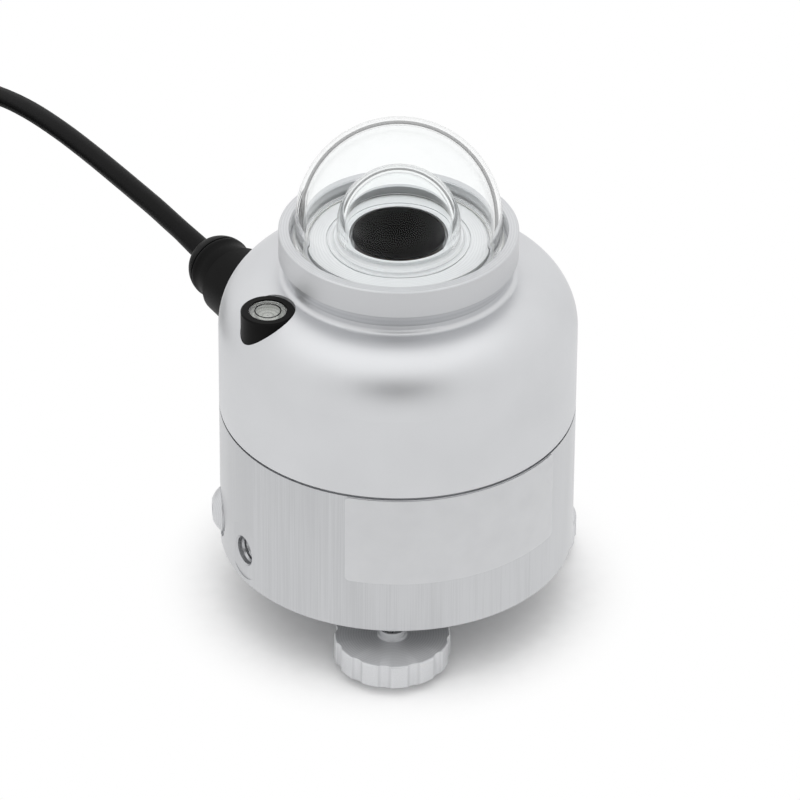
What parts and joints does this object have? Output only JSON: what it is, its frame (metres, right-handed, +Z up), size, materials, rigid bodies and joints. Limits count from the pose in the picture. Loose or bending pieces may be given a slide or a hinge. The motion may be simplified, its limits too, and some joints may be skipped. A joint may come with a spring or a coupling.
{
  "type": "pyranometer",
  "caption": "Round aluminium solar radiation sensor under two glass domes, with bubble level, levelling feet and a plugged-on signal cable.",
  "frame": {"origin": "on the floor under the feet, on the axis of the round housing", "axes": "+Z up along the housing's axis; the viewer of the front looks along +Y, so the front foot and the blank label are at -Y, and the cable leaves towards -X and +Y"},
  "size_m": [0.2707, 0.2725, 0.1304],
  "materials": {
    "base_finish": "fine brushed and clear anodised",
    "cap_finish": "satin bead-blasted and anodised",
    "collar_finish": "satin turned and anodised",
    "deck_finish": "matt anodised",
    "sink_finish": "plain turned",
    "wheel_finish": "satin turned and anodised",
    "screw_steel": "plain stainless steel",
    "socket_metal": "nickel-plated",
    "contact_gold": "gold-plated",
    "dome_glass": "ground and polished glass",
    "level_glass": "clear window",
    "level_liquid": "pale spirit",
    "level_air": "air bubble",
    "seal_rubber": "matt black",
    "pad_rubber": "matt black",
    "bond_silicone": "translucent silicone",
    "sensor_black": "deep matt black paint",
    "thermopile_foil": "wound foil on a film",
    "level_black": "black anodised",
    "level_white": "pale dial",
    "plug_black": "black glass-filled plastic",
    "insert_black": "black moulding",
    "cable_jacket": "black cable jacket",
    "core_plastic": "coloured core insulation",
    "tie_band": "black strap",
    "board_laminate": "green board laminate",
    "terminal_plastic": "green terminal moulding",
    "bag_cloth": "woven bag",
    "label_white": "blank film"
  },
  "bodies": {
    "instrument": {"base_housing": "base_finish", "cap_housing": "cap_finish", "housing_seal": "seal_rubber", "housing_screws": "screw_steel", "dome_collar": "collar_finish", "collar_seal": "seal_rubber", "outer_dome": "dome_glass", "outer_dome_bond": "bond_silicone", "inner_dome": "dome_glass", "inner_dome_seat": "deck_finish", "sensor_deck": "deck_finish", "sensor_disc": "sensor_black", "thermopile": "thermopile_foil", "sensor_body": "sink_finish", "sensor_screws": "screw_steel", "level_cup": "level_black", "level_dial": "level_white", "level_liquid": "level_liquid", "level_bubble": "level_air", "level_glass": "level_glass", "level_target": "level_black", "connector_socket": "socket_metal", "connector_seal": "seal_rubber", "socket_insert": "insert_black", "contact_pins": "contact_gold", "plug_body": "plug_black", "plug_insert": "insert_black", "plug_seal": "seal_rubber", "plug_nut": "plug_black", "cable_relief": "cable_jacket", "cable": "cable_jacket", "cable_coil": "cable_jacket", "coil_ties": "tie_band", "cable_cores": "core_plastic", "core_ferrules": "screw_steel", "fixed_foot": "wheel_finish", "fixed_foot_pad": "pad_rubber", "side_plug": "wheel_finish", "side_plug_seal": "seal_rubber", "terminal_board": "board_laminate", "terminal_block": "terminal_plastic", "board_screws": "screw_steel", "board_posts": "screw_steel", "desiccant_bag": "bag_cloth", "label_film": "label_white"},
    "foot_1_pad_body": {"foot_1_pad": "pad_rubber"},
    "foot_1_wheel_body": {"foot_1_wheel": "wheel_finish", "foot_1_screw": "screw_steel"},
    "foot_2_pad_body": {"foot_2_pad": "pad_rubber"},
    "foot_2_wheel_body": {"foot_2_wheel": "wheel_finish", "foot_2_screw": "screw_steel"},
    "coupling_ring_body": {"coupling_ring": "plug_black"}
  },
  "joints": [
    {"name": "foot_1_travel", "type": "slide", "parent": "instrument", "child": "foot_1_pad_body", "axis": [0, 0, 1], "range_m": [-0.006, 0.004]},
    {"name": "foot_1_turn", "type": "hinge", "parent": "foot_1_pad_body", "child": "foot_1_wheel_body", "pos_m": [-0.00092, -0.03499, 0.0058], "axis": [0, 0, 1], "range_deg": [-2161, 1441]},
    {"name": "foot_2_travel", "type": "slide", "parent": "instrument", "child": "foot_2_pad_body", "axis": [0, 0, 1], "range_m": [-0.006, 0.004]},
    {"name": "foot_2_turn", "type": "hinge", "parent": "foot_2_pad_body", "child": "foot_2_wheel_body", "pos_m": [0.03076, 0.0167, 0.0058], "axis": [0, 0, 1], "range_deg": [-2161, 1441]},
    {"name": "coupling_ring_turn", "type": "hinge", "parent": "instrument", "child": "coupling_ring_body", "pos_m": [-0.02781, 0.04629, 0.0442], "axis": [-0.515, 0.8572, 0], "range_deg": [0, 360]}
  ],
  "couplings": [
    {"joint": "foot_1_turn", "follows": "foot_1_travel", "rad_per_m": 6283.2},
    {"joint": "foot_2_turn", "follows": "foot_2_travel", "rad_per_m": 6283.2}
  ]
}
